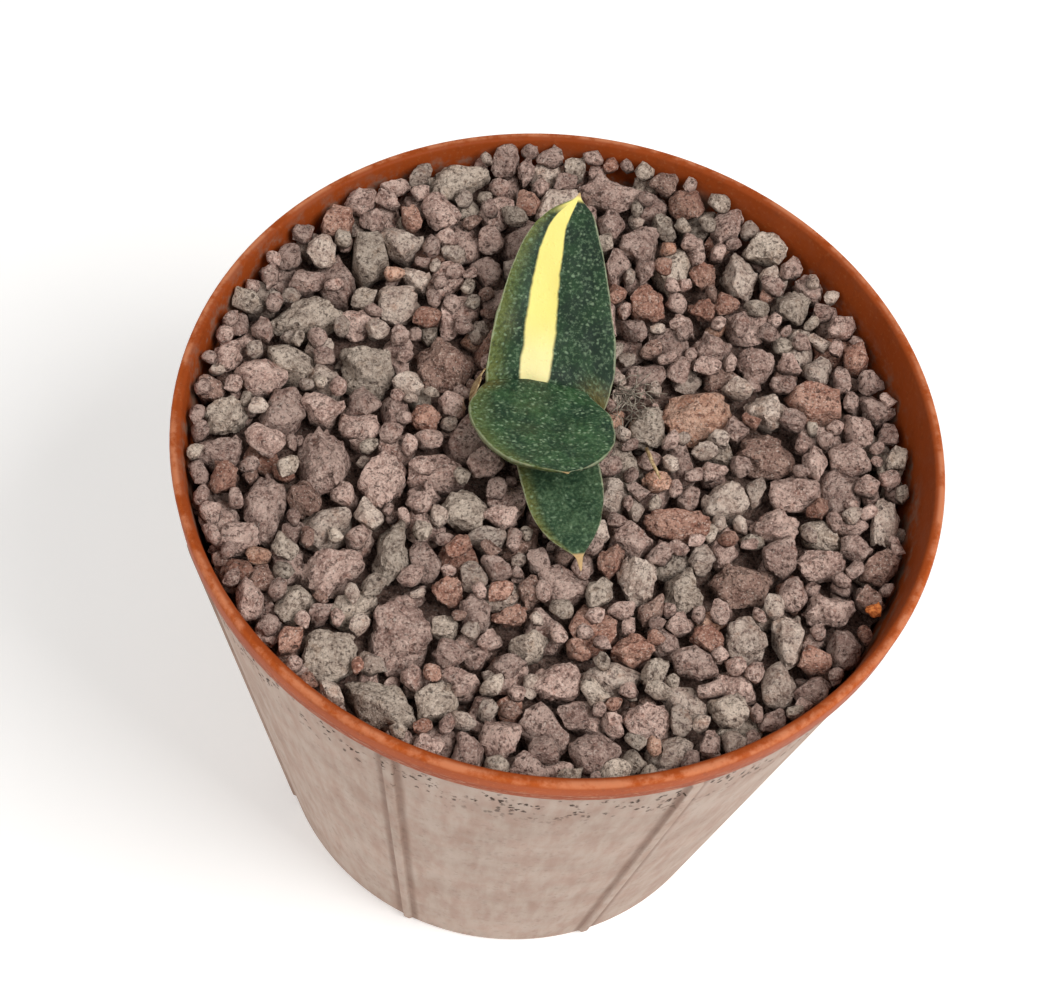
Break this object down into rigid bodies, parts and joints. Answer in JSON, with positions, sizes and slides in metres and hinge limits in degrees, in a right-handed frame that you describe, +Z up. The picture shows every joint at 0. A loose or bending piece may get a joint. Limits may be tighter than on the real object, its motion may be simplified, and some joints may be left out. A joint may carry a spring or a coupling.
{
  "type": "potted gasteria",
  "caption": "Young potted gasteria: thick dark green leaves, one with a pale yellow stripe, in a round tapered nursery pot topped with lava gravel; a small houseplant that stands on its foot.",
  "frame": {"origin": "centre of the pot's foot, on the surface it stands on", "axes": "+Z up along the pot's axis; the young and old leaves point towards -Y, the striped leaf towards +Y; +X to the right seen from -Y"},
  "size_m": [0.095, 0.095, 0.0896],
  "materials": {
    "terracotta_plastic": "moulded plastic in terracotta orange-brown, slightly glossy and scuffed, with a pale lime haze and dust on the wall and grime inside",
    "terracotta_crumb": "dull orange crumb, powdery",
    "growing_mix": "dark, damp, crumbly peat and grit",
    "gravel_mauve": "dry porous lava gravel, mauve grey, matt, finely pitted",
    "gravel_grey": "dry porous lava gravel, warm grey, matt, finely pitted",
    "gravel_pale": "dry porous lava gravel, pale, dusty",
    "gravel_dark": "dense lava stone, dark brown-mauve, smoother",
    "gravel_rust": "dry lava gravel, rusty red",
    "gravel_tan": "pumice stone, tan orange, dusty",
    "leaf_green": "thick waxy leaf skin, dark green, satin, with loose rows of pale raised specks and a rough pale margin",
    "leaf_variegated": "thick waxy leaf skin, dark green with a pale yellow stripe along the middle, satin, with pale specks and a rough pale margin",
    "dry_matter": "dry papery straw-brown plant remains",
    "root_flesh": "pale brown fleshy root and stem tissue"
  },
  "bodies": {
    "root": {"pot": "terracotta_plastic", "growing_mix": "growing_mix", "gravel_bed": "gravel_mauve", "stem_with_roots": "root_flesh", "leaf_young": "leaf_green", "leaf_striped": "leaf_variegated", "leaf_old": "leaf_green", "dry_sheath": "dry_matter", "dry_straw": "dry_matter", "pot_crumb": "terracotta_crumb", "stone_01": "gravel_dark", "stone_02": "gravel_tan", "stone_03": "gravel_mauve", "stone_04": "gravel_grey", "stone_05": "gravel_grey", "stone_06": "gravel_pale", "stone_07": "gravel_grey", "stone_08": "gravel_grey", "stone_09": "gravel_rust", "stone_10": "gravel_pale", "stone_11": "gravel_rust", "stone_12": "gravel_rust", "stone_13": "gravel_rust", "stone_14": "gravel_mauve", "stone_15": "gravel_pale", "stone_16": "gravel_mauve", "stone_17": "gravel_mauve", "stone_18": "gravel_mauve", "stone_19": "gravel_mauve", "stone_20": "gravel_mauve", "stone_21": "gravel_mauve", "stone_22": "gravel_grey", "stone_23": "gravel_grey", "stone_24": "gravel_mauve", "stone_25": "gravel_grey", "stone_26": "gravel_grey", "stone_27": "gravel_rust", "stone_28": "gravel_rust", "stone_29": "gravel_pale", "stone_30": "gravel_rust", "stone_31": "gravel_mauve", "stone_32": "gravel_dark", "stone_33": "gravel_dark", "stone_34": "gravel_mauve", "stone_35": "gravel_mauve", "stone_36": "gravel_pale", "stone_37": "gravel_pale", "stone_38": "gravel_pale", "stone_39": "gravel_grey", "stone_40": "gravel_rust", "stone_41": "gravel_pale", "stone_42": "gravel_rust", "stone_43": "gravel_mauve", "stone_44": "gravel_rust", "stone_45": "gravel_mauve", "stone_46": "gravel_grey"}
  },
  "joints": []
}
